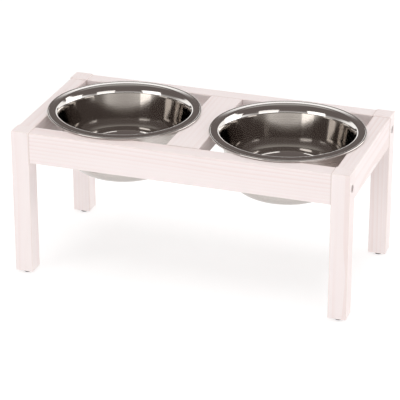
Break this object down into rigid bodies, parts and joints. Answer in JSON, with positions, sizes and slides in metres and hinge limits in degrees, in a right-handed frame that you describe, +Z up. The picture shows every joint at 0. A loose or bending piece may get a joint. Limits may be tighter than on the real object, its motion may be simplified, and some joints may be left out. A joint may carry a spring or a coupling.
{
  "type": "double bowl stand",
  "caption": "Low wooden feeding stand: square legs and an open rail frame hold lift-out polished steel bowls by their rims.",
  "frame": {"origin": "on the floor under the middle of the stand", "axes": "+X along the long side, towards the right of someone facing the front rail; +Y towards the back rail; +Z up"},
  "size_m": [0.465, 0.234, 0.2123],
  "materials": {
    "painted_wood": "thin pale paint, satin, grain just showing",
    "polished_steel": "pressed stainless steel, mirror polished",
    "black_plastic": "moulded, matt",
    "black_steel": "blackened",
    "zinc_steel": "zinc plated",
    "beech": "turned, bare"
  },
  "bodies": {
    "stand": {"back_rail": "painted_wood", "barrel_nut_back_left": "zinc_steel", "barrel_nut_back_right": "zinc_steel", "barrel_nut_front_left": "zinc_steel", "barrel_nut_front_right": "zinc_steel", "centre_divider": "painted_wood", "corner_dowel_back_left_lower": "beech", "corner_dowel_back_left_upper": "beech", "corner_dowel_back_right_lower": "beech", "corner_dowel_back_right_upper": "beech", "corner_dowel_front_left_lower": "beech", "corner_dowel_front_left_upper": "beech", "corner_dowel_front_right_lower": "beech", "corner_dowel_front_right_upper": "beech", "divider_dowel_back_left": "beech", "divider_dowel_back_right": "beech", "divider_dowel_front_left": "beech", "divider_dowel_front_right": "beech", "foot_back_left": "black_plastic", "foot_back_right": "black_plastic", "foot_front_left": "black_plastic", "foot_front_right": "black_plastic", "foot_tack_back_left": "zinc_steel", "foot_tack_back_right": "zinc_steel", "foot_tack_front_left": "zinc_steel", "foot_tack_front_right": "zinc_steel", "front_rail": "painted_wood", "left_rail": "painted_wood", "leg_back_left": "painted_wood", "leg_back_right": "painted_wood", "leg_front_left": "painted_wood", "leg_front_right": "painted_wood", "rail_bolt_back_left": "black_steel", "rail_bolt_back_right": "black_steel", "rail_bolt_front_left": "black_steel", "rail_bolt_front_right": "black_steel", "rail_dowel_back_left_lower": "beech", "rail_dowel_back_left_upper": "beech", "rail_dowel_back_right_lower": "beech", "rail_dowel_back_right_upper": "beech", "rail_dowel_front_left_lower": "beech", "rail_dowel_front_left_upper": "beech", "rail_dowel_front_right_lower": "beech", "rail_dowel_front_right_upper": "beech", "right_rail": "painted_wood"},
    "left_bowl": {"left_bowl": "polished_steel"},
    "right_bowl": {"right_bowl": "polished_steel"}
  },
  "joints": [
    {"name": "left_bowl_lift", "type": "slide", "parent": "stand", "child": "left_bowl", "axis": [0, 0, 1], "range_m": [0, 0.09]},
    {"name": "right_bowl_lift", "type": "slide", "parent": "stand", "child": "right_bowl", "axis": [0, 0, 1], "range_m": [0, 0.09]}
  ]
}
